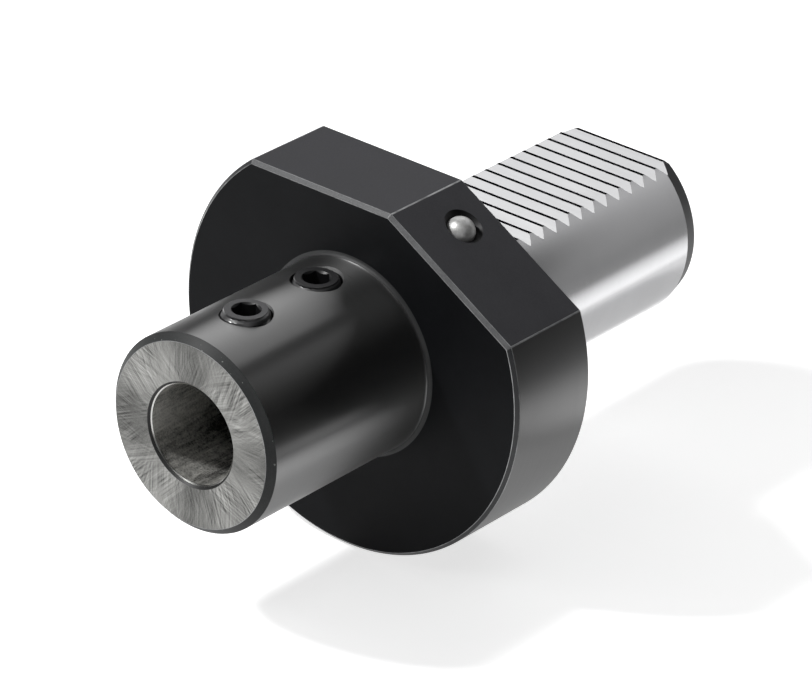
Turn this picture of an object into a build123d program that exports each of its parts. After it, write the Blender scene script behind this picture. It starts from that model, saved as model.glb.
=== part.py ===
from build123d import *
from build123d.topology import SkipClean
import os
from math import ceil, cos, floor, radians, sin, tan

# A straight-shank turret drill holder. Millimetres.
# The tool axis is the Y axis: the nose points to -Y and the serrated shank to +Y.
# The origin is the centre of the contact face, the flange's ground back face. +Z is the side of the clamp
# screws, the top flat and the serration.

# Nose
nose_r = 20.0
nose_len = 45.0
nose_edge = 1.4
nose_root_fillet = 1.0

# Flange, with a top flat and a second flat turned about the tool axis
flange_r = 41.5
flange_len = 22.0
flat_height = 32.5
second_flat_turn = 30.0
front_edge = 0.75
back_edge = 0.5

# Shank
shank_r = 20.0
shank_len = 63.0
lead_len = 3.5
lead_drop = 1.0
centre_cone_r = 5.5
centre_pilot_r = 2.5
centre_pilot_len = 4.0

# Serration: 90 degree teeth cut square to the shank in a milled flat
crest_height = 15.9
tooth_pitch = 4.0
crest_width = 0.8
root_width = 0.2
reference_crest = 29.7
rack_start = 8.0

# Tool bore: a ground length for the drill's shank, then a drilled end
bore_r = 10.0
bore_len = 55.0
bore_edge = 0.7
bore_relief = 0.5
bore_end_depth = 68.0
drill_point_angle = 118.0

# Clamp screws, hexagon-socket set screws with a flat point
thread_r = 5.0
thread_clearance = 0.05
screw_len = 10.0
screw_edge = 0.75
hexagon_width = 5.0
socket_depth = 5.0
hole_mouth = 0.5
front_screw_setback = 15.0
rear_screw_setback = 35.0
front_screw_stand_out = 0.8
rear_screw_stand_out = 0.1
front_hexagon_turn = 3.0
rear_hexagon_turn = -14.0

# Coolant channel: a radial run closed by a pressed-in ball, and an axial feed in the contact face
channel_r = 3.0
channel_setback = 8.7
channel_mouth = 1.05
ball_sink = 1.65
ball_clearance = 0.01
feed_r = 2.5
feed_radius = 26.3

# Seal ring in the recess round the shank's root, where the shank is relieved for grinding
seal_cord = 2.5
seal_gap = 0.05
seal_section_sides = 8
shank_relief = 0.3

# How far a cutting tool runs past the face that it enters
run_out = 5.0

nose_face_y = -(flange_len + nose_len)
relief_r = shank_r - shank_relief
second_flat_normal = Vector(sin(radians(second_flat_turn)), 0, cos(radians(second_flat_turn)))
point_slope = tan(radians(drill_point_angle / 2))


def turned(points):
    """Solid of revolution about the tool axis from (radius, y) corners."""
    outline = make_face(Polyline(*[(radius, y) for radius, y in points], close=True))
    return revolve(outline, Axis.Y, 360)


def nose_and_collar():
    """Nose with its chamfered face edge and root fillet, and the shank's plain collar up to the teeth."""
    middle_y = -flange_len / 2
    root_y = -flange_len
    root_r = nose_r + nose_root_fillet
    before_root = Polyline(
        (0, rack_start),
        (0, nose_face_y),
        (nose_r - nose_edge, nose_face_y),
        (nose_r, nose_face_y + nose_edge),
        (nose_r, root_y - nose_root_fillet),
    )
    root = RadiusArc((nose_r, root_y - nose_root_fillet), (root_r, root_y), nose_root_fillet)
    after_root = Polyline(
        (root_r, root_y),
        (root_r, middle_y),
        (relief_r, middle_y),
        (relief_r, 0),
        (shank_r, 0),
        (shank_r, rack_start),
        (0, rack_start),
    )
    return revolve(make_face(before_root + root + after_root), Axis.Y, 360)


def flange():
    """Disc with two flats, chamfered in front and more finely behind, and the recess for the seal ring."""
    reach = 2 * flange_r
    recess_len = seal_cord + 2 * seal_gap
    recess_r = relief_r + recess_len
    blank = extrude(Plane.XZ * Circle(flange_r), flange_len)
    for turn in (0, second_flat_turn):
        above = Pos(0, -flange_len / 2, flat_height + reach / 2) * Box(reach, reach, reach)
        blank -= Rot(0, turn, 0) * above
    front_face = blank.faces().sort_by(Axis.Y)[0]
    blank = chamfer(front_face.edges(), front_edge)
    back_face = blank.faces().sort_by(Axis.Y)[-1]
    blank = chamfer(back_face.edges(), back_edge)
    return blank - extrude(Plane.XZ * Circle(recess_r), recess_len)


def centre_hole():
    """60 degree centre hole in the shank's end."""
    cone_len = (centre_cone_r - centre_pilot_r) / tan(radians(30))
    return turned(
        [
            (0, shank_len),
            (centre_cone_r, shank_len),
            (centre_pilot_r, shank_len - cone_len),
            (centre_pilot_r, shank_len - cone_len - centre_pilot_len),
            (0, shank_len - cone_len - centre_pilot_len - centre_pilot_r / point_slope),
        ]
    )


def rack_cutter():
    """What is milled and ground away above the teeth, from the rack's start out past the shank's end."""
    gap_width = tooth_pitch - crest_width
    tooth_depth = (gap_width - root_width) / 2
    top = shank_r + run_out
    first_crest = reference_crest - tooth_pitch * floor((reference_crest - rack_start) / tooth_pitch)
    gap_count = ceil((shank_len - first_crest) / tooth_pitch) + 1
    points = [(rack_start, top), (rack_start, crest_height)]
    for index in range(gap_count):
        gap_start = first_crest + index * tooth_pitch + crest_width / 2
        gap_end = gap_start + gap_width
        points.append((gap_start, crest_height))
        points.append((gap_start + tooth_depth, crest_height - tooth_depth))
        points.append((gap_end - tooth_depth, crest_height - tooth_depth))
        points.append((gap_end, crest_height))
    points.append((points[-1][0], top))
    outline = make_face(Plane.YZ * Polyline(*points, close=True))
    return extrude(outline, shank_r + run_out, both=True)


def toothed_shank():
    """The shank from the collar to its end, with the slender lead, the teeth and the centre hole."""
    blank = turned(
        [
            (0, rack_start),
            (shank_r, rack_start),
            (shank_r, shank_len - lead_len),
            (shank_r - lead_drop, shank_len),
            (0, shank_len),
        ]
    )
    return blank - rack_cutter() - centre_hole()


def tool_bore():
    """Ground bore with its chamfered mouth, the slightly smaller drilled end and the drill point."""
    drilled_r = bore_r - bore_relief
    return turned(
        [
            (0, nose_face_y - bore_edge),
            (bore_r + 2 * bore_edge, nose_face_y - bore_edge),
            (bore_r, nose_face_y + bore_edge),
            (bore_r, nose_face_y + bore_len),
            (drilled_r, nose_face_y + bore_len + bore_relief),
            (drilled_r, nose_face_y + bore_end_depth),
            (0, nose_face_y + bore_end_depth + drilled_r / point_slope),
        ]
    )


def screw_hole(setback):
    """Hole for a clamp screw, from the nose's top into the tool bore, with a countersunk mouth."""
    depth = nose_r + run_out
    hole = Pos(0, 0, depth / 2) * Cylinder(thread_r, depth)
    mouth = Pos(0, 0, nose_r) * Cone(thread_r, thread_r + 2 * hole_mouth, 2 * hole_mouth)
    return Pos(0, nose_face_y + setback, 0) * (hole + mouth)


def radial_place(distance):
    """Frame on the second flat's normal, at a distance from the tool axis, in line with the channel."""
    origin = second_flat_normal * distance + Vector(0, -channel_setback, 0)
    return Plane(origin=origin, x_dir=(0, 1, 0), z_dir=second_flat_normal)


def coolant_channel():
    """Radial channel from the second flat to the tool bore, its countersunk mouth, and the axial feed."""
    depth = flat_height + run_out
    run = radial_place(depth / 2) * Cylinder(channel_r, depth)
    sink = Cone(channel_r, channel_r + 2 * channel_mouth, 2 * channel_mouth)
    mouth = radial_place(flat_height) * sink
    feed_mouth = Plane(origin=second_flat_normal * feed_radius, z_dir=(0, 1, 0))
    feed = feed_mouth * Cylinder(feed_r, 2 * channel_setback)
    return run + mouth + feed


def holder_body():
    """The one-piece steel body. The shank's wall stays two faces: the collar, and the arc beside the teeth."""
    with SkipClean():
        body = nose_and_collar() + flange() + toothed_shank()
        body -= tool_bore()
        body -= screw_hole(front_screw_setback)
        body -= screw_hole(rear_screw_setback)
        body -= coolant_channel()
    return body


def clamp_screw(setback, stand_out, hexagon_turn):
    """Set screw with chamfered ends and a hexagon socket that ends in a drill point."""
    flat_r = hexagon_width / 2
    corner_r = flat_r / cos(radians(30))
    mouth_edge = corner_r - flat_r
    shaft = Cylinder(thread_r - thread_clearance, screw_len)
    shaft = chamfer(shaft.edges().filter_by(GeomType.CIRCLE), screw_edge)
    top = screw_len / 2
    hexagon = RegularPolygon(corner_r, 6, rotation=90 + hexagon_turn)
    socket = Pos(0, 0, top - socket_depth) * extrude(hexagon, socket_depth)
    point_len = flat_r / point_slope
    point = Pos(0, 0, top - socket_depth - point_len / 2) * Cone(0, flat_r, point_len)
    mouth = Pos(0, 0, top) * Cone(flat_r, corner_r + mouth_edge, 2 * mouth_edge)
    screw = shaft - socket - point - mouth
    return Pos(0, nose_face_y + setback, nose_r + stand_out - top) * screw


def channel_ball():
    """Steel ball pressed into the channel's outer end."""
    return radial_place(flat_height - ball_sink) * Sphere(channel_r - ball_clearance)


def seal_ring():
    """Rubber ring, shown pressed level with the contact face, its round cord drawn with flat sides."""
    middle = seal_cord / 2 + seal_gap
    half_side = 180 / seal_section_sides
    cord = RegularPolygon(seal_cord / 2, seal_section_sides, major_radius=False, rotation=half_side)
    return revolve(Pos(relief_r + middle, -middle) * cord, Axis.Y, 360)


parts = {
    "holder_body": holder_body(),
    "clamp_screw_front": clamp_screw(front_screw_setback, front_screw_stand_out, front_hexagon_turn),
    "clamp_screw_rear": clamp_screw(rear_screw_setback, rear_screw_stand_out, rear_hexagon_turn),
    "channel_ball": channel_ball(),
    "seal_ring": seal_ring(),
}

os.makedirs("parts", exist_ok=True)
for name, shape in parts.items():
    export_step(shape, f"parts/{name}.step")
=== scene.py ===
from math import acos, atan2, ceil, cos, floor, pi, radians, sin, sqrt, tan

import bmesh
import bpy
from mathutils import Matrix, Vector


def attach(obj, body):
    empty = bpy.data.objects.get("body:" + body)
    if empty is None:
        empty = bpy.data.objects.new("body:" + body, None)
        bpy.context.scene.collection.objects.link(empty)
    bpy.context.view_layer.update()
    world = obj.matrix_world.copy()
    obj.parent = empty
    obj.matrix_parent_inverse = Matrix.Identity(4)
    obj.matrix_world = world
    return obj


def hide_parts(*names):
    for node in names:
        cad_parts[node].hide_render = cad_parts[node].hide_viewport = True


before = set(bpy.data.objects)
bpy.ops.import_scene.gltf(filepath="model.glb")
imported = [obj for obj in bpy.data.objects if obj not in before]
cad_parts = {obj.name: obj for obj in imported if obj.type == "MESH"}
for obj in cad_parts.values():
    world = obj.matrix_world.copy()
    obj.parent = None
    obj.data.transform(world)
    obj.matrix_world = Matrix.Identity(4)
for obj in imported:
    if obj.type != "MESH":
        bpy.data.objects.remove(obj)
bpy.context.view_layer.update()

MM = 0.001
MICRON = 0.000001
AXIS = Vector((0, 1, 0))
UP = Vector((0, 0, 1))

# Sizes in millimetres, as in the CAD model. The tool axis is Y and the origin is on the contact face.

# Nose
NOSE_R = 20.0
NOSE_LEN = 45.0
NOSE_EDGE = 1.4
ROOT_FILLET = 1.0

# Flange, with a top flat and a second flat turned about the tool axis
FLANGE_R = 41.5
FLANGE_LEN = 22.0
FLAT_HEIGHT = 32.5
FLAT_TURN = radians(30)
FRONT_EDGE = 0.75
BACK_EDGE = 0.5

# Shank, and the centre hole in its end
SHANK_R = 20.0
SHANK_LEN = 63.0
LEAD_LEN = 3.5
LEAD_DROP = 1.0
CONE_R = 5.5
PILOT_R = 2.5
PILOT_LEN = 4.0

# Serration
CREST_HEIGHT = 15.9
PITCH = 4.0
CREST_W = 0.8
ROOT_W = 0.2
REFERENCE_CREST = 29.7
RACK_START = 8.0

# Tool bore. Its depths are measured from the nose face.
BORE_R = 10.0
BORE_LEN = 55.0
BORE_EDGE = 0.7
BORE_RELIEF = 0.5
BORE_END = 68.0
POINT_SLOPE = tan(radians(59))

# Clamp screws, and their holes
THREAD_R = 5.0
THREAD_CLEARANCE = 0.05
SCREW_LEN = 10.0
SCREW_EDGE = 0.75
HEXAGON_W = 5.0
SOCKET_DEPTH = 5.0
HOLE_MOUTH = 0.5

# Each screw's setback from the nose face, how far it stands out, its hexagon's turn in degrees, and the tone
# of its end, darker on the rear screw
SCREWS = {"front": (15.0, 0.8, 3.0, 0.033), "rear": (35.0, 0.1, -14.0, 0.015)}

# Coolant channel and its axial feed
CHANNEL_R = 3.0
CHANNEL_SETBACK = 8.7
CHANNEL_MOUTH = 1.05
FEED_R = 2.5
FEED_RADIUS = 26.3

# Seal ring in the recess round the shank's relieved root
SEAL_CORD = 2.5
SEAL_GAP = 0.05
SHANK_RELIEF = 0.3

NOSE_FACE = -(FLANGE_LEN + NOSE_LEN)
RELIEF_R = SHANK_R - SHANK_RELIEF
SCREW_R = THREAD_R - THREAD_CLEARANCE
HOLE_PLACES = [NOSE_FACE + setback for setback, _, _, _ in SCREWS.values()]
SECOND_NORMAL = Vector((sin(FLAT_TURN), 0, cos(FLAT_TURN)))

# What only the dressed part has: rounded and rubbed edges, in millimetres
CORNER = 0.20
FLANGE_RUB = 0.065
NOSE_RUB, NOSE_RUB_DEPTH = 0.05, 0.04
MOUTH_LINE_START, MOUTH_LINE_DEPTH, MOUTH_LINE_END = 0.03, 0.07, 0.26
LEAD_RUB, LEAD_RUB_DEPTH = 0.05, 0.02
END_RUB, END_RUB_LEN = 0.06, 0.1
SEAL_FLASH = 0.03

# A drill point ends in a ring of this radius
TIP_R = 0.05

# Rings that divide the flange's faces, by radius, and the shank, by their place along it
FRONT_RINGS = (24.0, 27.5)
BACK_RING = 28.0
SHANK_RINGS = (6.0, 18.0, 30.0, 42.0, 52.0)

# Where the cutters of radial holes start, away from the tool axis but inside the bore, and how far cutters
# run past the faces that they cut, less where a countersink or the feed leaves little room
HOLE_START = 2.0
RUN_OUT, SHORT_RUN_OUT = 5.0, 2.0

# Zones of the body's skin. Each is one material slot.
ZONES = ["bore_end", "bore", "bore_mouth", "mouth_line", "flat_chamfer", "second_chamfer", "nose_face",
         "nose_edge", "nose", "root", "front_face", "front_chamfer", "rim", "flats", "back_chamfer",
         "contact_face", "recess", "shank", "lead", "end_face", "centre_hole", "flank", "crest", "shoulder",
         "tapped_hole", "hole_mouth", "channel", "channel_mouth", "feed", "worn_edge"]
SLOT = {name: index for index, name in enumerate(ZONES)}


def new_object(name, verts, faces, slots=None, scale=MM):
    """Mesh object in the scene. Its corners are in millimetres, unless scale says otherwise."""
    mesh = bpy.data.meshes.new(name)
    mesh.from_pydata([tuple(c * scale for c in v) for v in verts], [], faces)
    if slots is not None:
        mesh.polygons.foreach_set("material_index", slots)
    mesh.update()
    obj = bpy.data.objects.new(name, mesh)
    bpy.context.scene.collection.objects.link(obj)
    return obj


def add_slots(obj, materials):
    for material in materials:
        obj.data.materials.append(material)


def smooth(mesh):
    mesh.polygons.foreach_set("use_smooth", [True] * len(mesh.polygons))


def tube(name, loops, slot_of, first_slot, last_slot):
    """Closed mesh through loops of equally many points, with an end at the first and one at the last.
    slot_of(row, k) gives the slot of face k of the band that ends at that row."""
    count = len(loops[0])
    faces, slots = [], []
    for row in range(1, len(loops)):
        before, here = (row - 1) * count, row * count
        for k in range(count):
            n = (k + 1) % count
            faces.append((before + k, before + n, here + n, here + k))
            slots.append(slot_of(row, k))
    last = (len(loops) - 1) * count
    faces += [tuple(reversed(range(count))), tuple(last + k for k in range(count))]
    slots += [first_slot, last_slot]
    return new_object(name, [point for loop in loops for point in loop], faces, slots)


def revolved(name, profile, place, segments, slots):
    """Closed solid turned about its own Z from (radius, z, zone of the band that ends there) corners."""
    turns = [2 * pi * k / segments for k in range(segments)]
    loops = [[place @ Vector((radius * cos(turn), radius * sin(turn), z)) for turn in turns]
             for radius, z, _ in profile]
    bands = [slots[zone] for _, _, zone in profile]
    return tube(name, loops, lambda row, k: bands[row], bands[0], bands[-1])


def outward(obj):
    """Turns a closed mesh's faces outwards."""
    bm = bmesh.new()
    bm.from_mesh(obj.data)
    bmesh.ops.recalc_face_normals(bm, faces=bm.faces)
    if bm.calc_volume(signed=True) < 0:
        bmesh.ops.reverse_faces(bm, faces=bm.faces)
    bm.to_mesh(obj.data)
    bm.free()
    return obj


def cut(obj, cutters):
    """Takes the cutters out of obj for good, and deletes them."""
    for cutter in cutters:
        modifier = obj.modifiers.new("cut", "BOOLEAN")
        modifier.operation, modifier.solver, modifier.object = "DIFFERENCE", "EXACT", cutter
        modifier.material_mode = "INDEX"
    bpy.context.view_layer.update()
    evaluated = obj.evaluated_get(bpy.context.evaluated_depsgraph_get())
    mesh = bpy.data.meshes.new_from_object(evaluated)
    obj.modifiers.clear()
    old = obj.data
    obj.data = mesh
    bpy.data.meshes.remove(old)
    for cutter in cutters:
        bpy.data.objects.remove(cutter)


# A corner of a face that lies nearer to its axis than this, in metres, keeps the face's own normal.
ON_AXIS = 0.00001


def normal_at(point, face, rule):
    """Normal at a corner of a face. The rule is None where the face is flat. Otherwise it gives the form,
    turned or fillet, a point on the axis, the axis's direction and how far a fillet's centre is from it."""
    if rule is None:
        return face.normal
    form, origin, direction, centre_r = rule
    arm = point - origin
    radial = arm - direction * arm.dot(direction)
    if form == "fillet":
        return (origin + radial.normalized() * centre_r - point).normalized()
    if radial.length <= ON_AXIS:
        return face.normal
    middle = face.center - origin
    middle -= direction * middle.dot(direction)
    along = face.normal.dot(direction)
    side = 1 if face.normal.dot(middle) > 0 else -1
    return radial.normalized() * (side * sqrt(max(0, 1 - along * along))) + direction * along


def shade(obj, rule_of):
    """Smooth normals worked out from the form, by the rule that rule_of gives for each face."""
    mesh = obj.data
    smooth(mesh)
    normals = [None] * len(mesh.loops)
    for face in mesh.polygons:
        rule = rule_of(face)
        for loop in face.loop_indices:
            point = mesh.vertices[mesh.loops[loop].vertex_index].co
            normals[loop] = tuple(normal_at(point, face, rule))
    mesh.normals_split_custom_set(normals)


# The flange's outline has the same number of points at every inset, so that loops join point to point. A
# section is one rounded corner and the flat that follows it.
FLAT_STEPS, ARC_STEPS, CORNER_STEPS = 54, 262, 3
SECTION = CORNER_STEPS + FLAT_STEPS

# Turn in radians at which a corner's two sides are sampled for their directions
NEAR = 0.01


def flange_outline(inset):
    """Points of the flange's section seen along Y, pulled in by inset all round, with its corners rounded."""
    radius, height = FLANGE_R - inset, FLAT_HEIGHT - inset
    half = acos(height / radius)
    turns = [-half, FLAT_TURN / 2, FLAT_TURN + half, 2 * pi - half]

    def at(turn):
        near_flat = height / max(cos(turn), cos(turn - FLAT_TURN), 1e-6)
        reach = min(radius, near_flat) if turns[0] <= turn <= turns[2] else radius
        return Vector((reach * sin(turn), 0, reach * cos(turn)))

    points = []
    for start, end, steps in zip(turns, turns[1:], (FLAT_STEPS, FLAT_STEPS, ARC_STEPS)):
        corner = at(start)
        before = corner - (corner - at(start - NEAR)).normalized() * CORNER
        after = corner + (at(start + NEAR) - corner).normalized() * CORNER
        for step in range(CORNER_STEPS + 1):
            t = step / CORNER_STEPS
            points.append(before * (1 - t) ** 2 + corner * 2 * t * (1 - t) + after * t * t)
        for step in range(1, steps):
            points.append(at(start + (end - start) * step / steps))
    return points


OUTLINE_TURNS = [atan2(point.x, point.z) for point in flange_outline(0)]


class Skin:
    """Loops about the tool axis, one after the other, and the zone of the band that ends at each."""

    def __init__(self):
        self.loops, self.bands = [], []

    def ring(self, radius, y, zone):
        self.loops.append([Vector((radius * sin(turn), y, radius * cos(turn))) for turn in OUTLINE_TURNS])
        self.bands.append(zone)

    def outline(self, inset, y, zone):
        self.loops.append([Vector((point.x, y, point.z)) for point in flange_outline(inset)])
        self.bands.append(zone)


def spaced(start, end, steps):
    """The places that equal steps from start to end lead to."""
    return [start + (end - start) * step / steps for step in range(1, steps + 1)]


def add_bore(skin):
    """The tool bore, from its drill point out to its chamfered mouth with the ground line in the chamfer."""
    drilled = BORE_R - BORE_RELIEF
    deep = NOSE_FACE + BORE_END
    ground_end = NOSE_FACE + BORE_LEN
    mouth = NOSE_FACE + BORE_EDGE
    skin.ring(TIP_R, deep + drilled / POINT_SLOPE, "bore_end")
    skin.ring(drilled, deep, "bore_end")
    skin.ring(drilled, ground_end + BORE_RELIEF, "bore_end")
    skin.ring(BORE_R, ground_end, "hole_mouth")
    for y in spaced(ground_end, mouth, steps=12):
        skin.ring(BORE_R, y, "bore")
    skin.ring(BORE_R + MOUTH_LINE_START, mouth - MOUTH_LINE_DEPTH, "bore_mouth")
    skin.ring(BORE_R + MOUTH_LINE_END, mouth - MOUTH_LINE_END, "mouth_line")
    skin.ring(BORE_R + BORE_EDGE, NOSE_FACE, "bore_mouth")


def add_nose(skin):
    """The nose's face, its chamfered edge with the rubbed line, its side and the fillet at its root."""
    root = -FLANGE_LEN - ROOT_FILLET
    side_start = NOSE_FACE + NOSE_EDGE + NOSE_RUB
    skin.ring(NOSE_R - NOSE_EDGE - NOSE_RUB, NOSE_FACE, "nose_face")
    skin.ring(NOSE_R - NOSE_EDGE + NOSE_RUB, NOSE_FACE + NOSE_RUB_DEPTH, "worn_edge")
    skin.ring(NOSE_R - NOSE_RUB, NOSE_FACE + NOSE_EDGE - NOSE_RUB, "nose_edge")
    skin.ring(NOSE_R, side_start, "nose_edge")
    for y in spaced(side_start, root, steps=10):
        skin.ring(NOSE_R, y, "nose")
    steps, dark_steps = 6, 2
    for step in range(1, steps + 1):
        turn = pi / 2 * step / steps
        zone = "nose" if step <= dark_steps else "root"
        skin.ring(NOSE_R + ROOT_FILLET * (1 - cos(turn)), root + ROOT_FILLET * sin(turn), zone)


def add_flange(skin):
    """The flange's front face, its rim between two chamfers with rubbed edges, and its ground back face."""
    front, rub = -FLANGE_LEN, FLANGE_RUB
    for radius in FRONT_RINGS:
        skin.ring(radius, front, "front_face")
    skin.outline(FRONT_EDGE + rub, front, "front_face")
    skin.outline(FRONT_EDGE - rub, front + rub, "worn_edge")
    skin.outline(rub, front + FRONT_EDGE - rub, "front_chamfer")
    skin.outline(0, front + FRONT_EDGE + rub, "worn_edge")
    for y in spaced(front + FRONT_EDGE + rub, -BACK_EDGE - rub, steps=4):
        skin.outline(0, y, "rim")
    skin.outline(rub, -BACK_EDGE + rub, "worn_edge")
    skin.outline(BACK_EDGE - rub, -rub, "back_chamfer")
    skin.outline(BACK_EDGE + rub, 0, "worn_edge")
    skin.ring(BACK_RING, 0, "contact_face")


def add_recess(skin):
    """The seal ring's recess in the contact face, round the shank's relieved root."""
    width = SEAL_CORD + 2 * SEAL_GAP
    skin.ring(RELIEF_R + width, 0, "contact_face")
    skin.ring(RELIEF_R + width, -width, "recess")
    skin.ring(RELIEF_R, -width, "recess")
    skin.ring(RELIEF_R, 0, "recess")


def add_shank(skin):
    """The shank before its teeth are cut, its lead chamfer with rubbed edges, and its centre hole."""
    lead = SHANK_LEN - LEAD_LEN
    end_r = SHANK_R - LEAD_DROP
    for y in (0.0, *SHANK_RINGS, lead - LEAD_RUB):
        skin.ring(SHANK_R, y, "shank")
    skin.ring(SHANK_R - LEAD_RUB_DEPTH, lead + LEAD_RUB, "worn_edge")
    skin.ring(end_r + END_RUB, SHANK_LEN - END_RUB_LEN, "lead")
    skin.ring(end_r - END_RUB, SHANK_LEN, "worn_edge")
    cone_end = SHANK_LEN - (CONE_R - PILOT_R) / tan(radians(30))
    pilot_end = cone_end - PILOT_LEN
    skin.ring(CONE_R, SHANK_LEN, "end_face")
    skin.ring(PILOT_R, cone_end, "centre_hole")
    skin.ring(PILOT_R, pilot_end, "centre_hole")
    skin.ring(TIP_R, pilot_end - PILOT_R / POINT_SLOPE, "centre_hole")


def face_zone(band, k):
    """Zone of face k of a band. Round the flange, corners, flats and arc have zones of their own."""
    if band not in ("rim", "front_chamfer", "back_chamfer"):
        return band
    # Corners of the chamfers take the second flat's chamfer colour, with its painted highlight.
    if any(start <= k < start + CORNER_STEPS for start in (0, SECTION, 2 * SECTION)):
        return "worn_edge" if band == "rim" else "second_chamfer"
    if band == "back_chamfer" or k >= 2 * SECTION:
        return band
    if band == "rim":
        return "flats"
    return "flat_chamfer" if k < SECTION else "second_chamfer"


def body_blank():
    """The body as loops about the tool axis, from the end of its bore round to its centre hole."""
    skin = Skin()
    for add in (add_bore, add_nose, add_flange, add_recess, add_shank):
        add(skin)
    return tube("body_skin", skin.loops, lambda row, k: SLOT[face_zone(skin.bands[row], k)],
                SLOT["bore_end"], SLOT["centre_hole"])


def screw_hole_cutter(y):
    """Hole for a clamp screw, from the nose's top into the bore, with its chamfered mouth."""
    mouth_r = THREAD_R + 2 * HOLE_MOUTH
    profile = [(THREAD_R, HOLE_START, "tapped_hole"), (THREAD_R, NOSE_R - HOLE_MOUTH, "tapped_hole"),
               (mouth_r, NOSE_R + HOLE_MOUTH, "hole_mouth"), (mouth_r, NOSE_R + RUN_OUT, "hole_mouth")]
    return revolved("hole_cutter", profile, Matrix.Translation((0, y, 0)), segments=128, slots=SLOT)


def channel_cutter():
    """Radial channel from the second flat to the bore, with its countersunk mouth."""
    place = Matrix.Translation((0, -CHANNEL_SETBACK, 0)) @ Matrix.Rotation(FLAT_TURN, 4, "Y")
    mouth_r = CHANNEL_R + CHANNEL_MOUTH
    profile = [(CHANNEL_R, HOLE_START, "channel"), (CHANNEL_R, FLAT_HEIGHT - CHANNEL_MOUTH, "channel"),
               (mouth_r, FLAT_HEIGHT, "channel_mouth"),
               (mouth_r + SHORT_RUN_OUT, FLAT_HEIGHT + SHORT_RUN_OUT, "channel_mouth")]
    return revolved("channel_cutter", profile, place, segments=96, slots=SLOT)


def feed_cutter():
    """Axial feed from the contact face to the channel."""
    place = Matrix.Translation(SECOND_NORMAL * FEED_RADIUS) @ Matrix.Rotation(-pi / 2, 4, "X")
    profile = [(FEED_R, -CHANNEL_SETBACK, "feed"), (FEED_R, SHORT_RUN_OUT, "feed")]
    return revolved("feed_cutter", profile, place, segments=64, slots=SLOT)


def rack_cutter():
    """Prism that leaves the teeth: its underside is the row of crests, flanks and roots. Each of its corners
    is (y, z, zone of the face that ends there)."""
    gap = PITCH - CREST_W
    depth = (gap - ROOT_W) / 2
    root_height = CREST_HEIGHT - depth
    first = REFERENCE_CREST - PITCH * floor((REFERENCE_CREST - RACK_START) / PITCH)
    side = top = SHANK_R + RUN_OUT
    corners = [(RACK_START, top, "crest"), (RACK_START, CREST_HEIGHT, "shoulder")]
    for index in range(ceil((SHANK_LEN - first) / PITCH) + 1):
        start = first + index * PITCH + CREST_W / 2
        corners += [(start, CREST_HEIGHT, "crest"), (start + depth, root_height, "flank"),
                    (start + gap - depth, root_height, "flank"), (start + gap, CREST_HEIGHT, "flank")]
    corners.append((corners[-1][0], top, "crest"))
    count = len(corners)
    verts = [Vector((x, y, z)) for x in (-side, side) for y, z, _ in corners]
    faces = [tuple(reversed(range(count))), tuple(range(count, 2 * count))]
    slots = [SLOT["crest"], SLOT["crest"]]
    for k in range(count):
        n = (k + 1) % count
        faces.append((k, n, count + n, count + k))
        slots.append(SLOT[corners[n][2]])
    return new_object("rack_cutter", verts, faces, slots)


def slots_of(*zones):
    return {SLOT[zone] for zone in zones}


HOLE_SLOTS = slots_of("tapped_hole", "hole_mouth")
CHANNEL_SLOTS = slots_of("channel", "channel_mouth")
FLAT_SLOTS = slots_of("nose_face", "front_face", "flats", "contact_face", "end_face", "flank", "crest",
                      "shoulder")
OUTLINE_SLOTS = slots_of("front_chamfer", "flat_chamfer", "second_chamfer", "rim", "back_chamfer",
                         "worn_edge")

# A face counts as the flange's up to this far past its two faces, in millimetres, and as on a flat up to this
# far past the flats' ends, in radians
FLANGE_SLACK, FLAT_SLACK = 0.5, 0.004


def body_rule(face):
    """How a face of the body's skin is shaded."""
    slot, centre = face.material_index, face.center
    if slot in FLAT_SLOTS:
        return None
    if slot in HOLE_SLOTS:
        nearest = min(HOLE_PLACES, key=lambda y: abs(y * MM - centre.y))
        return "turned", Vector((0, nearest * MM, 0)), UP, 0
    if slot in CHANNEL_SLOTS:
        return "turned", Vector((0, -CHANNEL_SETBACK * MM, 0)), SECOND_NORMAL, 0
    if slot == SLOT["feed"]:
        return "turned", SECOND_NORMAL * FEED_RADIUS * MM, AXIS, 0
    if slot == SLOT["root"]:
        return "fillet", Vector((0, (-FLANGE_LEN - ROOT_FILLET) * MM, 0)), AXIS, (NOSE_R + ROOT_FILLET) * MM
    if slot in OUTLINE_SLOTS and -(FLANGE_LEN + FLANGE_SLACK) * MM < centre.y < FLANGE_SLACK * MM:
        reach = acos(FLAT_HEIGHT / FLANGE_R) + FLAT_SLACK
        if -reach < atan2(centre.x, centre.z) < FLAT_TURN + reach:
            return None
    return "turned", Vector((0, 0, 0)), AXIS, 0


def make_body(materials):
    skin = outward(body_blank())
    cutters = [screw_hole_cutter(y) for y in HOLE_PLACES] + [channel_cutter(), feed_cutter(), rack_cutter()]
    add_slots(skin, materials)
    for cutter in cutters:
        add_slots(outward(cutter), materials)
    cut(skin, cutters)
    shade(skin, body_rule)
    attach(skin, "holder")
    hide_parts("holder_body")


# Set screws: real threads, run out by the end chamfers, and a hexagon socket with a countersunk mouth.
# THREAD_FLAT is the share of half a pitch that is flat at the crest, and again at the root, THREAD_START is a
# share of a turn, and THREAD_FADE is the slope at which the end chamfers let the thread grow.
SCREW_SLOT = {"thread": 0, "top": 1, "socket": 2, "tip": 3}
THREAD_PITCH = 1.5
THREAD_DEPTH = 0.92
THREAD_FLAT = 0.12
THREAD_START = 0.08
THREAD_FADE = 0.45


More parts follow.
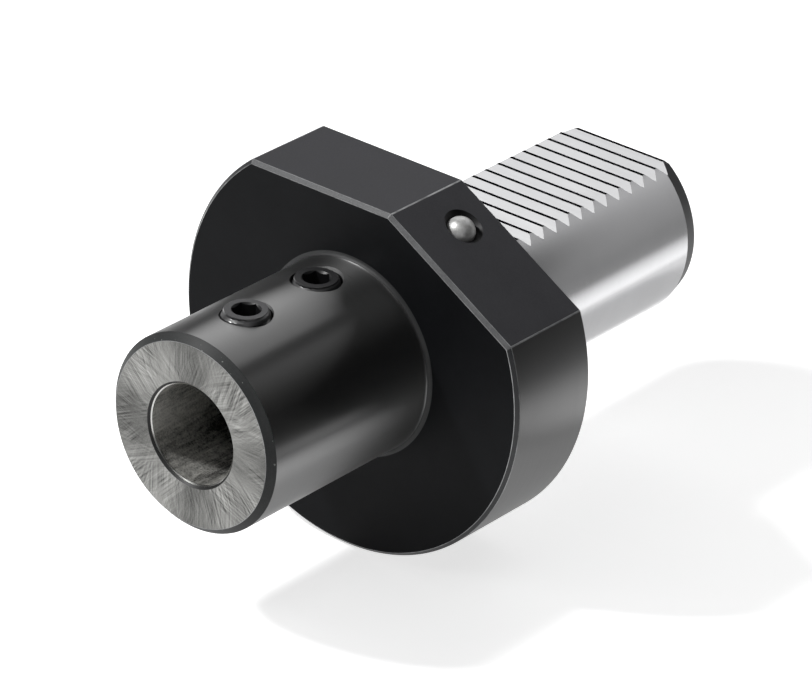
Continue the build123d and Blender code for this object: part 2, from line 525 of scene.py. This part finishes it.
def thread_radius(z, turn):
    """Radius of the threaded surface at height z above the tip and at a turn in radians."""
    phase = (z / THREAD_PITCH - turn / (2 * pi) - THREAD_START) % 1.0
    ramp = abs(phase - 0.5) * 2
    height = min(1.0, max(0.0, (ramp - THREAD_FLAT) / (1 - 2 * THREAD_FLAT)))
    chamfer = SCREW_R - SCREW_EDGE + THREAD_FADE * min(z, SCREW_LEN - z)
    return min(SCREW_R - THREAD_DEPTH * (1 - height), chamfer)


def threaded_blank(name):
    """The screw before its socket is cut, with its tip on the origin."""
    segments, rows = 96, 120
    loops = []
    for row in range(rows + 1):
        z = SCREW_LEN * row / rows
        loops.append([])
        for k in range(segments):
            turn = 2 * pi * k / segments
            radius = thread_radius(z, turn)
            loops[-1].append(Vector((radius * cos(turn), radius * sin(turn), z)))
    return tube(name, loops, lambda row, k: SCREW_SLOT["thread"], SCREW_SLOT["tip"], SCREW_SLOT["top"])


def socket_cutters(hexagon_turn):
    """The hexagon's prism, and the cone of its countersunk mouth."""
    flat_r = HEXAGON_W / 2
    corner_r = flat_r / cos(radians(30))
    mouth_depth = corner_r - flat_r
    inside, above = 0.4, 1.0
    turned = Matrix.Rotation(radians(90 + hexagon_turn), 4, "Z")
    prism = [(corner_r, SCREW_LEN - SOCKET_DEPTH, "socket"), (corner_r, SCREW_LEN + above, "socket")]
    cone = [(flat_r - inside, SCREW_LEN - mouth_depth - inside, "socket"),
            (corner_r + above, SCREW_LEN + above, "socket")]
    return [revolved("hexagon", prism, turned, 6, SCREW_SLOT),
            revolved("socket_mouth", cone, Matrix(), 96, SCREW_SLOT)]


def make_screw(side, node, body):
    setback, stand_out, hexagon_turn, tone = SCREWS[side]
    materials = screw_materials(tone)
    screw = outward(threaded_blank(f"set_screw_{side}"))
    add_slots(screw, materials)
    cutters = socket_cutters(hexagon_turn)
    for cutter in cutters:
        add_slots(outward(cutter), materials)
    cut(screw, cutters)
    y = NOSE_FACE + setback
    screw.data.transform(Matrix.Translation((0, y * MM, (NOSE_R + stand_out - SCREW_LEN) * MM)))

    def screw_rule(face):
        """The thread and the socket's countersink are turned about the screw's axis. The rest is flat."""
        countersink = face.material_index == SCREW_SLOT["socket"] and 0.2 < abs(face.normal.z) < 0.9
        if countersink or face.material_index == SCREW_SLOT["thread"]:
            return "turned", Vector((0, y * MM, 0)), UP, 0
        return None

    shade(screw, screw_rule)
    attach(screw, body)
    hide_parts(node)


def make_ring(material):
    """Round rubber cord with the faint parting lines that its mould leaves, level with the contact face."""
    cord_r = SEAL_CORD / 2
    ring_r = RELIEF_R + cord_r + SEAL_GAP
    around, across = 180, 32
    verts, faces = [], []
    for i in range(around):
        turn = 2 * pi * i / around
        for j in range(across):
            side = 2 * pi * j / across
            flash = SEAL_FLASH if j in (0, across // 2) else 0.0
            radius = ring_r + (cord_r + flash) * cos(side)
            y = -(cord_r + SEAL_GAP) + cord_r * sin(side)
            verts.append(Vector((radius * sin(turn), y, radius * cos(turn))))
            here, there = i * across, (i + 1) % around * across
            n = (j + 1) % across
            faces.append((here + j, there + j, there + n, here + n))
    ring = outward(new_object("seal_ring_skin", verts, faces))
    smooth(ring.data)
    ring.data.materials.append(material)
    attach(ring, "holder")
    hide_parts("seal_ring")


class Paint:
    """A Principled material built from nodes, with short calls for the nodes that the finishes share."""

    def __init__(self, name, color, rough, metallic=0.0, specular=0.5, anisotropic=0.0, ior=1.5):
        self.material = bpy.data.materials.new(name)
        self.material.use_nodes = True
        self.tree = self.material.node_tree
        self.tree.nodes.clear()
        self.out = self.node("ShaderNodeOutputMaterial")
        self.shader = self.node("ShaderNodeBsdfPrincipled")
        self.put(self.shader.outputs["BSDF"], self.out.inputs["Surface"])
        self.set("Base Color", (*color, 1))
        self.set("Roughness", rough)
        self.set("Metallic", metallic)
        self.set("Specular IOR Level", specular)
        self.set("Anisotropic", anisotropic)
        self.set("IOR", ior)
        self.position = self.node("ShaderNodeTexCoord").outputs["Object"]

    def node(self, kind, **settings):
        made = self.tree.nodes.new(kind)
        for key, value in settings.items():
            setattr(made, key, value)
        return made

    def put(self, value, socket):
        """Links another node's output to the socket, or sets the socket to a number, vector or colour."""
        if hasattr(value, "is_linked"):
            self.tree.links.new(value, socket)
        else:
            socket.default_value = value

    def set(self, socket, value):
        self.put(value, self.shader.inputs[socket])

    def feed(self, made, values):
        for socket, value in zip(made.inputs, values):
            self.put(value, socket)

    def math(self, operation, *values):
        made = self.node("ShaderNodeMath", operation=operation)
        self.feed(made, values)
        return made.outputs[0]

    def vector(self, operation, *values):
        made = self.node("ShaderNodeVectorMath", operation=operation)
        self.feed(made, values)
        return made.outputs["Value"] if operation in ("LENGTH", "DOT_PRODUCT") else made.outputs["Vector"]

    def split(self, vector):
        made = self.node("ShaderNodeSeparateXYZ")
        self.put(vector, made.inputs[0])
        return made.outputs

    def join(self, x, y, z):
        made = self.node("ShaderNodeCombineXYZ")
        self.feed(made, (x, y, z))
        return made.outputs[0]

    def noise(self, vector, scale, detail, rough, distortion=0.0):
        made = self.node("ShaderNodeTexNoise")
        self.put(vector, made.inputs["Vector"])
        for socket, value in (("Scale", scale), ("Detail", detail), ("Roughness", rough),
                              ("Distortion", distortion)):
            made.inputs[socket].default_value = value
        return made.outputs[0]

    def fit(self, value, from_low, from_high, to_low, to_high):
        """Number that runs from to_low to to_high, no further, as value runs from from_low to from_high."""
        made = self.node("ShaderNodeMapRange")
        self.put(value, made.inputs["Value"])
        for socket, number in zip(("From Min", "From Max", "To Min", "To Max"),
                                  (from_low, from_high, to_low, to_high)):
            made.inputs[socket].default_value = number
        return made.outputs[0]

    def vary(self, value, middle, spread):
        """Number that runs over spread, with its middle at middle, as value runs from 0 to 1."""
        return self.math("MULTIPLY_ADD", value, spread, middle - spread / 2)

    def weigh(self, *terms):
        """Sum of (value, weight) terms."""
        *others, (value, weight) = terms
        total = self.math("MULTIPLY", value, weight)
        for value, weight in reversed(others):
            total = self.math("MULTIPLY_ADD", value, weight, total)
        return total

    def mix(self, factor, first, second):
        """Colour between first and second. The colour sockets of a Mix node are its inputs 6 and 7."""
        made = self.node("ShaderNodeMix", data_type="RGBA")
        self.put(factor, made.inputs[0])
        for color, socket in ((first, made.inputs[6]), (second, made.inputs[7])):
            self.put((*color, 1) if isinstance(color, tuple) else color, socket)
        return made.outputs[2]

    def bump(self, height, distance, strength):
        made = self.node("ShaderNodeBump")
        made.inputs["Strength"].default_value = strength
        made.inputs["Distance"].default_value = distance
        self.put(height, made.inputs["Height"])
        self.set("Normal", made.outputs[0])

    def around_axis(self):
        """(distance from the tool axis, place along it, turn about it), in metres and radians."""
        x, y, z = self.split(self.position)
        reach = self.math("SQRT", self.math("ADD", self.math("MULTIPLY", x, x), self.math("MULTIPLY", z, z)))
        return reach, y, self.math("ARCTAN2", x, z)

    def way_out(self):
        """Unit vector square away from the tool axis."""
        return self.vector("NORMALIZE", self.vector("MULTIPLY", self.position, (1, 0, 1)))

    def turned(self):
        """Stretches reflections across the marks that turning or round grinding leaves."""
        along = self.vector("CROSS_PRODUCT", (0, 1, 0), self.position)
        normal = self.node("ShaderNodeNewGeometry").outputs["Normal"]
        self.set("Tangent", self.vector("CROSS_PRODUCT", along, normal))

    def turning_marks(self, pitch):
        """Fine marks round the axis: noise that changes fast along a section, at a pitch in millimetres, and
        slowly round the axis."""
        round_scale = 1.8
        reach, y, _ = self.around_axis()
        x, _, z = self.split(self.way_out())
        across = self.math("DIVIDE", self.math("ADD", reach, y), pitch * MM)
        return self.noise(self.join(self.math("MULTIPLY", x, round_scale), across,
                                    self.math("MULTIPLY", z, round_scale)), scale=1, detail=3, rough=0.6)


SPECK_COLOR = (0.24, 0.25, 0.24)


def blackened(name, color, rough, specular, anisotropic=0.0, marks=None, light=1.7, specks=0.0, ior=1.5):
    """Black oxide on steel: slightly cloudy up to light times its colour, with faint tool marks at a pitch in
    millimetres, and a few bright specks."""
    paint = Paint(name, color, rough, specular=specular, anisotropic=anisotropic, ior=ior)
    clouds = paint.noise(paint.position, scale=90, detail=4, rough=0.6)
    fine = paint.noise(paint.position, scale=2600, detail=2, rough=0.6)
    pale = tuple(c * light + 0.001 for c in color)
    base = paint.mix(paint.fit(paint.weigh((fine, 0.45), (clouds, 0.75)), 0.42, 0.80, 0, 1), color, pale)
    if marks:
        lines = paint.turning_marks(marks)
        base = paint.mix(paint.fit(lines, 0.35, 0.75, 0, 0.7), base, pale)
        gloss, height, depth = lines, paint.math("MULTIPLY_ADD", fine, 0.5, lines), 4 * MICRON
        paint.turned()
    else:
        gloss, height, depth = clouds, fine, 3 * MICRON
    if specks:
        dots = paint.noise(paint.position, scale=1500, detail=1, rough=0.4)
        base = paint.mix(paint.fit(dots, 0.76 - specks, 0.79 - specks, 0, 1), base, SPECK_COLOR)
    paint.set("Base Color", base)
    paint.set("Roughness", paint.vary(gloss, rough, 0.16))
    paint.bump(height, depth, 0.6)
    return paint.material


def ground(name, color, rough, anisotropic, contrast, pitch=None):
    """Bright ground steel with slow, cloudy changes of tone. Its fine lines run round the axis at a pitch in
    millimetres, or straight along X where no pitch is given."""
    paint = Paint(name, color, rough, metallic=1.0, anisotropic=anisotropic)
    dark = tuple(c * (1 - contrast) for c in color)
    pale = tuple(min(1, c * (1 + contrast)) for c in color)
    clouds = paint.noise(paint.position, scale=75, detail=3, rough=0.55)
    if pitch:
        lines = paint.turning_marks(pitch)
        paint.turned()
    else:
        stretched = paint.vector("MULTIPLY", paint.position, (40, 9000, 9000))
        lines = paint.noise(stretched, scale=1, detail=3, rough=0.6)
    tone = paint.weigh((lines, 0.5), (clouds, 0.5))
    paint.set("Base Color", paint.mix(paint.fit(tone, 0.36, 0.66, 0, 1), dark, pale))
    paint.set("Roughness", paint.vary(lines, rough, 0.12))
    paint.bump(lines, 1.5 * MICRON, 0.5)
    return paint.material


def face_ground(name, color, rough):
    """The nose face: ground in short straight strokes that cross, over four soft sectors of painted sheen
    that also make the strokes stronger.
    """
    paint = Paint(name, color, rough, metallic=1.0, anisotropic=0.55)
    paint.turned()
    _, _, turn = paint.around_axis()
    way = paint.way_out()

    def strokes(angle):
        """Straight strokes at one angle, in patches, where the way out from the bore is near that angle."""
        a = radians(angle)
        along = paint.vector("DOT_PRODUCT", paint.position, (sin(a), 0, cos(a)))
        across = paint.vector("DOT_PRODUCT", paint.position, (cos(a), 0, -sin(a)))
        facing = paint.math("ABSOLUTE", paint.vector("DOT_PRODUCT", way, (sin(a), 0, cos(a))))
        stretched = paint.join(paint.math("MULTIPLY", along, 45), paint.math("MULTIPLY", across, 3000),
                               angle / 10)
        lines = paint.noise(stretched, scale=1, detail=1.5, rough=0.65)
        moved = paint.vector("ADD", paint.position, (angle, 0, 0))
        patch = paint.fit(paint.noise(moved, scale=190, detail=1, rough=0.5), 0.44, 0.62, 0.15, 1.0)
        share = paint.math("MULTIPLY", paint.fit(facing, 0.62, 0.92, 0, 1), patch)
        return paint.math("MULTIPLY", paint.math("SUBTRACT", lines, 0.5), share)

    total = strokes(0)
    for angle in (20, 45, 65, 90, 110, 135, 160):
        total = paint.math("ADD", total, strokes(angle))
    # Painted sheen: four soft bright sectors round the face, turned by fan_turn degrees, lighten the tone and
    # strengthen the strokes in them.
    fan_count, fan_turn = 4, 42
    painted_sheen_fans = paint.math("COSINE", paint.math("MULTIPLY_ADD", turn, fan_count, -radians(fan_turn * fan_count)))
    soft = paint.math("ADD", paint.noise(way, scale=1.9, detail=2, rough=0.5),
                      paint.noise(paint.position, scale=110, detail=2, rough=0.5))
    grain = paint.noise(paint.position, scale=3400, detail=2, rough=0.6)
    lit = paint.math("MULTIPLY", total, paint.fit(painted_sheen_fans, -1, 1, 0.6, 1.3))
    tone = paint.math("ADD", paint.weigh((painted_sheen_fans, 0.16), (soft, 0.55)), paint.weigh((lit, 1.0), (grain, 0.2)))
    dark = tuple(c * 0.35 for c in color)
    pale = tuple(min(1, c * 2.1) for c in color)
    paint.set("Base Color", paint.mix(paint.fit(tone, 0.33, 1.05, 0, 1), dark, pale))
    paint.set("Roughness", paint.fit(total, -0.3, 0.3, rough + 0.08, rough - 0.08))
    paint.bump(total, 4 * MICRON, 0.6)
    return paint.material


def speckled_with_painted_shade(name, color, rough):
    """The bore's wall: thinly blackened and speckled, under painted light and shade: faint bands of painted
    light and shade that sway round it, painted shade that darkens it away from its mouth, and painted light
    that makes it paler at its -X side."""
    paint = Paint(name, color, rough, metallic=0.6, anisotropic=0.3)
    paint.turned()
    speckle = paint.noise(paint.position, scale=2600, detail=3, rough=0.7)
    cloud = paint.noise(paint.position, scale=640, detail=3, rough=0.6, distortion=0.4)
    stretched = paint.vector("MULTIPLY", paint.position, (1500, 160, 1500))
    streak = paint.noise(stretched, scale=1, detail=3, rough=0.6)
    _, y, turn = paint.around_axis()
    slow = paint.noise(paint.position, scale=40, detail=1, rough=0.5)
    sway = paint.math("MULTIPLY", paint.math("SUBTRACT", slow, 0.5), 1.2)
    # The bands are painted light and shade round the wall, six to a turn, palest at a turn of 200 degrees.
    band_count, band_turn = 6, 200
    phase = paint.math("MULTIPLY_ADD", turn, band_count, -radians(band_turn * band_count))
    bands = paint.math("COSINE", paint.math("ADD", phase, sway))
    mixed = paint.weigh((streak, 0.5), (speckle, 0.6), (cloud, 0.3))
    # Painted shade: the wall darkens away from the mouth.
    painted_depth_shade = paint.fit(y, -0.064, -0.045, 0.0, -0.20)
    x, _, _ = paint.split(paint.position)
    # Painted light: the wall is paler at its -X side.
    beside = paint.fit(x, -0.006, -0.0098, 0.0, 0.16)
    with_painted_bands = paint.math("MULTIPLY_ADD", bands, 0.08, mixed)
    tone = paint.math("ADD", with_painted_bands, paint.math("ADD", painted_depth_shade, beside))
    dark = tuple(c * 0.14 for c in color)
    pale = tuple(min(1, c * 2.4) for c in color)
    paint.set("Base Color", paint.mix(paint.fit(tone, 0.50, 0.98, 0, 1), dark, pale))
    paint.set("Roughness", paint.math("MULTIPLY_ADD", cloud, 0.25, rough - 0.12))
    paint.bump(mixed, 10 * MICRON, 0.6)
    return paint.material


def worn(name, dark, bright, rough):
    """Edges where the black has rubbed off, more in some places than in others."""
    paint = Paint(name, bright, rough, metallic=0.6)
    rub = paint.noise(paint.position, scale=260, detail=4, rough=0.7)
    slow = paint.noise(paint.position, scale=45, detail=2, rough=0.5)
    amount = paint.fit(paint.weigh((slow, 0.5), (rub, 0.6)), 0.34, 0.66, 0, 1)
    paint.set("Base Color", paint.mix(amount, dark, bright))
    paint.set("Roughness", paint.vary(rub, rough, -0.2))
    return paint.material


def body_materials():
    """The body's finishes, one for each zone. Some zones share another's."""
    made = {
        "bore_end": blackened("drilled_steel", (0.006, 0.006, 0.0065), rough=0.5, specular=0.3, marks=0.35),
        "bore": speckled_with_painted_shade("bore_wall_with_painted_shade", (0.34, 0.335, 0.315), rough=0.42),
        "bore_mouth": blackened("mouth_chamfer", (0.012, 0.012, 0.012), rough=0.42, specular=0.3, marks=0.12),
        "mouth_line": ground("mouth_edge", (0.52, 0.52, 0.50), rough=0.24, anisotropic=0.3, contrast=0.12,
                             pitch=0.2),
        "nose_face": face_ground("ground_nose_face_painted_sheen", (0.185, 0.185, 0.178), rough=0.38),
        "nose_edge": blackened("nose_chamfer", (0.026, 0.027, 0.027), rough=0.5, specular=0.16,
                               anisotropic=0.3, marks=0.12, specks=0.001),
        "nose": blackened("turned_nose", (0.0008, 0.0009, 0.0011), rough=0.32, specular=0.5, anisotropic=0.8,
                          marks=0.10, ior=3.0),
        "front_face": blackened("faced_flange", (0.0036, 0.0039, 0.0046), rough=0.5, specular=0.08,
                                anisotropic=0.3, marks=0.12, light=1.5),
        "flats": blackened("milled_flats", (0.039, 0.039, 0.043), rough=0.52, specular=0.14, light=1.25),
        # One chamfer runs round the flange's front edge: the top flat's, the second flat's and the rim's.
        # Their colours differ as painted light and shade, and the second flat's is palest, a painted
        # highlight.
        "flat_chamfer": blackened("flat_chamfer", (0.022, 0.0225, 0.024), rough=0.45, specular=0.25,
                                  light=3.6),
        "second_chamfer": blackened("second_flat_chamfer_painted_highlight", (0.068, 0.069, 0.071), rough=0.42, specular=0.4,
                                    light=2.2),
        "front_chamfer": blackened("rim_chamfer", (0.012, 0.0125, 0.014), rough=0.40, specular=0.5,
                                   anisotropic=0.3, marks=0.12),
        "rim": blackened("turned_rim", (0.0012, 0.0013, 0.0016), rough=0.34, specular=0.5, anisotropic=0.65,
                         marks=0.12, ior=2.35),
        "contact_face": ground("ground_contact_face", (0.42, 0.42, 0.41), rough=0.34, anisotropic=0.5,
                               contrast=0.2, pitch=0.16),
        "shank": ground("ground_shank", (0.54, 0.54, 0.55), rough=0.17, anisotropic=0.6, contrast=0.05,
                        pitch=0.10),
        "lead": blackened("lead_chamfer", (0.030, 0.030, 0.032), rough=0.45, specular=0.4, anisotropic=0.3,
                          marks=0.12),
        "flank": ground("tooth_flanks", (0.34, 0.34, 0.345), rough=0.60, anisotropic=0.0, contrast=0.07),
        "crest": blackened("tooth_crests", (0.0015, 0.0015, 0.0018), rough=0.8, specular=0.0),
        "worn_edge": worn("rubbed_edge", (0.035, 0.036, 0.038), (0.42, 0.425, 0.43), rough=0.42),
        "hole": blackened("hole_wall", (0.006, 0.006, 0.0065), rough=0.45, specular=0.4),
        "hole_mouth": worn("hole_rim", (0.02, 0.02, 0.021), (0.10, 0.10, 0.10), rough=0.6),
        "channel_mouth": blackened("channel_countersink", (0.0035, 0.0035, 0.004), rough=0.45, specular=0.3),
        "root": blackened("root_fillet", (0.018, 0.0185, 0.019), rough=0.55, specular=0.4, anisotropic=0.3,
                          marks=0.15),
    }
    shared = {"back_chamfer": "rim", "recess": "bore_end", "end_face": "lead", "centre_hole": "bore_end",
              "shoulder": "crest", "tapped_hole": "hole", "channel": "hole", "feed": "hole"}
    return [made[shared.get(zone, zone)] for zone in ZONES]


def screw_materials(tone):
    """Blackened screw, whose ends have the tone given."""
    sides = blackened("screw_thread", (0.012, 0.012, 0.013), rough=0.32, specular=0.8, ior=1.9)
    end = blackened("screw_end", (tone, tone, tone * 1.05), rough=0.42, specular=0.4, light=1.8)
    socket = blackened("screw_socket", (0.004, 0.004, 0.0045), rough=0.42, specular=0.4)
    return [sides, end, socket, end]


def ball_material():
    """Burnished ball, a little scuffed."""
    paint = Paint("ball_steel", (0.72, 0.72, 0.72), rough=0.45, metallic=0.5)
    scuff = paint.noise(paint.position, scale=900, detail=3, rough=0.6)
    dark, pale = (0.50, 0.50, 0.49), (0.68, 0.68, 0.68)
    paint.set("Base Color", paint.mix(paint.fit(scuff, 0.35, 0.7, 0, 1), dark, pale))
    paint.set("Roughness", paint.fit(scuff, 0.3, 0.7, 0.40, 0.52))
    paint.bump(scuff, 6 * MICRON, 0.5)
    return paint.material


def rubber_material():
    """Black rubber with a fine grain and a faint pale bloom."""
    paint = Paint("seal_rubber", (0.02, 0.02, 0.021), rough=0.55, specular=0.4)
    bloom = paint.noise(paint.position, scale=300, detail=4, rough=0.65)
    grain = paint.noise(paint.position, scale=5000, detail=2, rough=0.5)
    dark, pale = (0.016, 0.016, 0.017), (0.034, 0.034, 0.036)
    paint.set("Base Color", paint.mix(paint.fit(bloom, 0.4, 0.75, 0, 1), dark, pale))
    paint.set("Roughness", paint.fit(bloom, 0.3, 0.7, 0.48, 0.66))
    paint.bump(grain, 12 * MICRON, 0.5)
    return paint.material


# The set round the object, in metres
FLOOR_Z = -(FLANGE_R + 0.3) * MM
FLOOR_REACH, FLOOR_BEND, WALL_RISE = 3.0, 0.5, 0.9
CARD_X, CARD_Y, CARD_Z = 0.145, (-0.08, 0.70), (FLOOR_Z + 0.0001, 0.60)
STRIP_X, STRIP_Y, STRIP_Z = (0.060, 0.144), (0.020, 0.40), FLOOR_Z + 0.0006
DARK_STRIP_X, DARK_STRIP_Y = 0.088, -0.03

# How the set glows, where 1 is white
FLOOR_COLOR = 0.85
FLOOR_GLOW, FAR_GLOW = 0.68, 1.0
MIRRORED_GLOW, FAR_MIRRORED_GLOW = 0.51, 0.12
CARD_DARK, CARD_PALE, CARD_LIFT = 0.004, 0.38, 2.05
STRIP_GLOW, FAR_STRIP_GLOW = 1.9, 0.4
WORLD_RADIANCE = 0.028

# Lamps: name, way to it from the object, distance, width and height in metres, and radiance
LAMPS = (
    ("key", (-0.47, -0.47, 0.75), 0.9, 0.09, 0.09, 250.0),
    ("front_top", (-0.06, -0.64, 0.74), 0.60, 0.50, 0.14, 2.4),
    ("back_left", (-0.37, 0.695, 0.60), 0.70, 0.60, 0.46, 1.15),
    ("left", (-0.90, 0.20, 0.30), 0.80, 0.40, 0.30, 0.6),
    ("top_right", (0.44, 0.01, 0.89), 0.70, 0.35, 0.35, 1.05),
    ("front_right", (0.60, -0.66, 0.46), 1.10, 0.60, 0.60, 0.3),
)

# The photo's camera, solved from the object's edges: its picture's width and its focal length in pixels, its
# place in millimetres, and the directions of its right side and of its view
PICTURE_WIDTH, FOCAL_LENGTH = 812, 5094.87
CAMERA_PLACE = Vector((546.587, -688.458, 451.992))
CAMERA_RIGHT = Vector((0.768126, 0.639156, 0.038242))
CAMERA_VIEW = Vector((-0.553826, 0.693177, -0.461284))
SENSOR_WIDTH = 36.0


def softbox(name, direction, distance, width, height, radiance):
    """Rectangular lamp that faces the object. Its energy gives it the stated radiance."""
    way = Vector(direction).normalized()
    lamp = bpy.data.lights.new(name, "AREA")
    lamp.shape, lamp.size, lamp.size_y = "RECTANGLE", width, height
    lamp.energy = radiance * pi * width * height
    obj = bpy.data.objects.new(name, lamp)
    obj.location = way * distance
    obj.rotation_euler = way.to_track_quat("Z", "Y").to_euler()
    obj.visible_camera = False
    bpy.context.scene.collection.objects.link(obj)


def floor_material():
    """Seen directly it glows up to white far off, and less near the object, where it keeps a faint shadow.
    Reflections see it dimmer, and far off darker still."""
    paint = Paint("floor", (FLOOR_COLOR, FLOOR_COLOR, FLOOR_COLOR), rough=1.0, specular=0.0)
    paint.set("Emission Color", (1, 1, 1, 1))
    path = paint.node("ShaderNodeLightPath").outputs
    reach = paint.vector("LENGTH", paint.position)
    seen = paint.fit(reach, 0.25, 0.9, FLOOR_GLOW, FAR_GLOW)
    mirrored = paint.fit(reach, 0.25, 0.7, MIRRORED_GLOW, FAR_MIRRORED_GLOW)
    other = paint.math("MAXIMUM", path["Is Glossy Ray"], path["Is Transmission Ray"])
    strength = paint.math("ADD", paint.math("MULTIPLY", path["Is Camera Ray"], seen),
                          paint.math("MULTIPLY", other, mirrored))
    paint.set("Emission Strength", strength)
    return paint.material


def make_floor():
    """Pale round floor that turns up into a low wall far off."""
    around, bend_steps = 96, 8
    rows = [(reach, 0.0) for reach in (0.3, 0.6, 1.2, 2.4, FLOOR_REACH)]
    for step in range(1, bend_steps + 1):
        turn = pi / 2 * step / bend_steps
        rows.append((FLOOR_REACH + FLOOR_BEND * sin(turn), FLOOR_BEND - FLOOR_BEND * cos(turn)))
    rows.append((FLOOR_REACH + FLOOR_BEND, WALL_RISE))
    verts = [(0.0, 0.0, FLOOR_Z)]
    for radius, rise in rows:
        verts += [(radius * cos(2 * pi * k / around), radius * sin(2 * pi * k / around), FLOOR_Z + rise)
                  for k in range(around)]
    faces = [(0, 1 + k, 1 + (k + 1) % around) for k in range(around)]
    for row in range(len(rows) - 1):
        a, b = 1 + row * around, 1 + (row + 1) * around
        faces += [(a + k, b + k, b + (k + 1) % around, a + (k + 1) % around) for k in range(around)]
    piece = new_object("floor", verts, faces, scale=1.0)
    smooth(piece.data)
    piece.data.materials.append(floor_material())


def make_mirrored(name, verts, faces, glow_of):
    """Sheet that only reflections see. glow_of works out how strongly it glows from place to place."""
    sheet = new_object(name, verts, faces, scale=1.0)
    paint = Paint(name, (0, 0, 0), rough=1.0)
    glow = paint.node("ShaderNodeEmission")
    paint.put(glow.outputs[0], paint.out.inputs["Surface"])
    paint.tree.nodes.remove(paint.shader)
    paint.put(glow_of(paint), glow.inputs["Strength"])
    sheet.data.materials.append(paint.material)
    sheet.visible_camera = sheet.visible_diffuse = sheet.visible_shadow = sheet.visible_transmission = False


def make_card():
    """Graduated grey card beside the object, parallel to the tool axis. It is dark there, and pale beyond the
    shank's end, past a border that leans back as it rises."""
    verts = [(CARD_X, CARD_Y[0], CARD_Z[0]), (CARD_X, CARD_Y[1], CARD_Z[0]),
             (CARD_X, CARD_Y[1], CARD_Z[1]), (CARD_X, CARD_Y[0], CARD_Z[1])]

    def glow(paint):
        lean = 0.55
        _, y, z = paint.split(paint.position)
        along = paint.fit(paint.math("MULTIPLY_ADD", z, -lean, y), 0.114, 0.128, CARD_DARK, CARD_PALE)
        lift = paint.fit(z, 0.0, 0.20, 1.0, CARD_LIFT)
        fade = paint.fit(z, 0.28, 0.46, 1.0, 0.1)
        return paint.math("MULTIPLY", along, paint.math("MULTIPLY", lift, fade))

    make_mirrored("grey_card", verts, [(0, 1, 2, 3)], glow)


def make_strip():
    """Strip that lies just above the floor in front of the card, dark beside the nose and pale beside the
    shank."""
    (x0, x1), (y0, y1) = STRIP_X, STRIP_Y
    pale = [(x0, y0), (x1, y0), (x1, y1), (x0, y1)]
    dark = [(DARK_STRIP_X, y0), (DARK_STRIP_X, DARK_STRIP_Y), (x1, DARK_STRIP_Y)]

    def glow(paint):
        x, y, _ = paint.split(paint.position)
        across = paint.fit(x, x1, x0, FAR_STRIP_GLOW, STRIP_GLOW)
        along = paint.fit(y, y0, y0 + 0.020, 0.02, 1.0)
        return paint.math("MULTIPLY", across, along)

    verts = [(x, y, STRIP_Z) for x, y in pale + dark]
    make_mirrored("pale_strip", verts, [(0, 4, 1, 2, 3), (5, 6, 1, 4)], glow)


def make_world():
    world = bpy.data.worlds.new("studio")
    bpy.context.scene.world = world
    world.use_nodes = True
    background = world.node_tree.nodes["Background"]
    background.inputs["Color"].default_value = (WORLD_RADIANCE, WORLD_RADIANCE, WORLD_RADIANCE * 1.02, 1)
    background.inputs["Strength"].default_value = 1.0


def make_camera():
    data = bpy.data.cameras.new("camera")
    data.sensor_fit, data.sensor_width = "HORIZONTAL", SENSOR_WIDTH
    data.lens = FOCAL_LENGTH * SENSOR_WIDTH / PICTURE_WIDTH
    data.clip_start, data.clip_end = 0.05, 50.0
    camera = bpy.data.objects.new("camera", data)
    turn = Matrix((CAMERA_RIGHT, CAMERA_RIGHT.cross(CAMERA_VIEW), -CAMERA_VIEW)).transposed().to_4x4()
    camera.matrix_world = Matrix.Translation(CAMERA_PLACE * MM) @ turn
    bpy.context.scene.collection.objects.link(camera)
    bpy.context.scene.camera = camera


make_camera()
bpy.context.scene.view_settings.view_transform = "Standard"
make_body(body_materials())
make_screw("front", "clamp_screw_front", "front_screw")
make_screw("rear", "clamp_screw_rear", "rear_screw")
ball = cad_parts["channel_ball"]
ball.data.materials.clear()
ball.data.materials.append(ball_material())
make_ring(rubber_material())
make_floor()
make_card()
make_strip()
make_world()
for lamp_settings in LAMPS:
    softbox(*lamp_settings)
